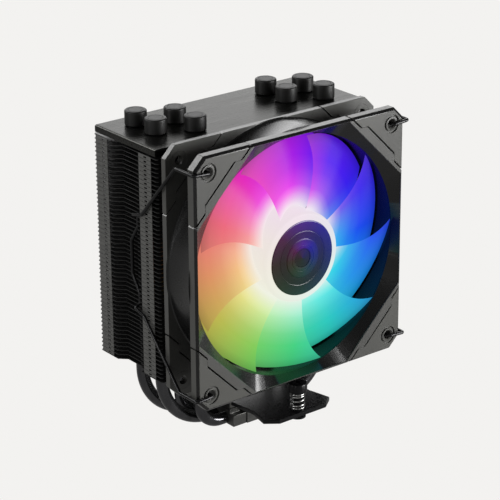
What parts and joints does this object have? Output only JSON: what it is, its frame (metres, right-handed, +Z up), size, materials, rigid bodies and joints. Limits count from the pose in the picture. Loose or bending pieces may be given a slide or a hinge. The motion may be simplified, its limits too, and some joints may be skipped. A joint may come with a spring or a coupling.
{
  "type": "cpu tower cooler",
  "caption": "Tower heatsink with staggered U heat pipes, stacked fins, brushed cover, clip-on lit fan and a sprung mounting bar.",
  "frame": {"origin": "centre of the contact face that rests on the processor", "axes": "+Z up along the heat pipes, -Y towards the fan's intake, +X to the right seen from the fan"},
  "size_m": [0.1242, 0.1059, 0.1567],
  "materials": {
    "fin_black": "black anodised",
    "cover_brushed": "dark brushed anodised",
    "pipe_black": "black nickel plated copper",
    "cap_black": "matt black",
    "base_metal": "milled",
    "bar_black": "satin black",
    "spring_steel": "zinc plated",
    "frame_plastic": "moulded",
    "pad_rubber": "matt",
    "blade_plastic": "frosted translucent",
    "hub_plastic": "gloss",
    "yoke_steel": "pressed",
    "magnet": "bonded ferrite",
    "clip_nylon": "natural nylon",
    "bronze": "sintered",
    "coil_copper": "enamelled copper wire",
    "board": "glass fibre board",
    "clip_wire": "black oxide spring wire"
  },
  "bodies": {
    "cooler": {"fin_stack": "fin_black", "top_cover": "cover_brushed", "heat_pipe_1": "pipe_black", "heat_pipe_2": "pipe_black", "heat_pipe_3": "pipe_black", "heat_pipe_4": "pipe_black", "pipe_cap_1": "cap_black", "pipe_cap_2": "cap_black", "pipe_cap_3": "cap_black", "pipe_cap_4": "cap_black", "pipe_cap_5": "cap_black", "pipe_cap_6": "cap_black", "pipe_cap_7": "cap_black", "pipe_cap_8": "cap_black", "base_block": "base_metal", "base_cover": "base_metal", "crossbar": "bar_black", "crossbar_screw_front": "spring_steel", "crossbar_screw_rear": "spring_steel", "screw_spring_front": "spring_steel", "screw_spring_rear": "spring_steel", "frame_front": "frame_plastic", "frame_duct": "frame_plastic", "frame_rear": "frame_plastic", "motor_mount": "frame_plastic", "front_pad_top_right": "pad_rubber", "front_pad_top_left": "pad_rubber", "front_pad_bottom_left": "pad_rubber", "front_pad_bottom_right": "pad_rubber", "rear_pad_top_right": "pad_rubber", "rear_pad_top_left": "pad_rubber", "rear_pad_bottom_left": "pad_rubber", "rear_pad_bottom_right": "pad_rubber", "rubber_strip_left": "pad_rubber", "rubber_strip_right": "pad_rubber", "bearing_cover": "pad_rubber", "bearing_tube": "bronze", "sleeve_bearing": "bronze", "stator": "coil_copper", "circuit_board": "board"},
    "rotor": {"impeller": "blade_plastic", "hub_cap": "hub_plastic", "rotor_yoke": "yoke_steel", "magnet_ring": "magnet", "rotor_shaft": "spring_steel", "shaft_clip": "clip_nylon"},
    "clip_left": {"wire_clip_left": "clip_wire"},
    "clip_right": {"wire_clip_right": "clip_wire"},
    "front_screw_slide": {"screw_ring_front": "bar_black"},
    "front_screw": {"spring_screw_front": "bar_black"},
    "rear_screw_slide": {"screw_ring_rear": "bar_black"},
    "rear_screw": {"spring_screw_rear": "bar_black"}
  },
  "joints": [
    {"name": "fan_spin", "type": "hinge", "parent": "cooler", "child": "rotor", "pos_m": [0, -0.04, 0.0927], "axis": [0, 1, 0], "continuous": true},
    {"name": "clip_left_swing", "type": "hinge", "parent": "cooler", "child": "clip_left", "pos_m": [-0.0525, -0.0502, 0.0927], "axis": [0, 0, 1], "range_deg": [0, 18]},
    {"name": "clip_right_swing", "type": "hinge", "parent": "cooler", "child": "clip_right", "pos_m": [0.0525, -0.0502, 0.0927], "axis": [0, 0, -1], "range_deg": [0, 18]},
    {"name": "front_screw_press", "type": "slide", "parent": "cooler", "child": "front_screw_slide", "axis": [0, 0, 1], "range_m": [-0.004, 0], "stiffness_N_per_m": 4000, "springref_m": 0.002, "deforming": ["screw_spring_front"]},
    {"name": "front_screw_turn", "type": "hinge", "parent": "front_screw_slide", "child": "front_screw", "pos_m": [0, -0.048, 0.02], "axis": [0, 0, 1], "continuous": true},
    {"name": "rear_screw_press", "type": "slide", "parent": "cooler", "child": "rear_screw_slide", "axis": [0, 0, 1], "range_m": [-0.004, 0], "stiffness_N_per_m": 4000, "springref_m": 0.002, "deforming": ["screw_spring_rear"]},
    {"name": "rear_screw_turn", "type": "hinge", "parent": "rear_screw_slide", "child": "rear_screw", "pos_m": [0, 0.048, 0.02], "axis": [0, 0, 1], "continuous": true}
  ]
}
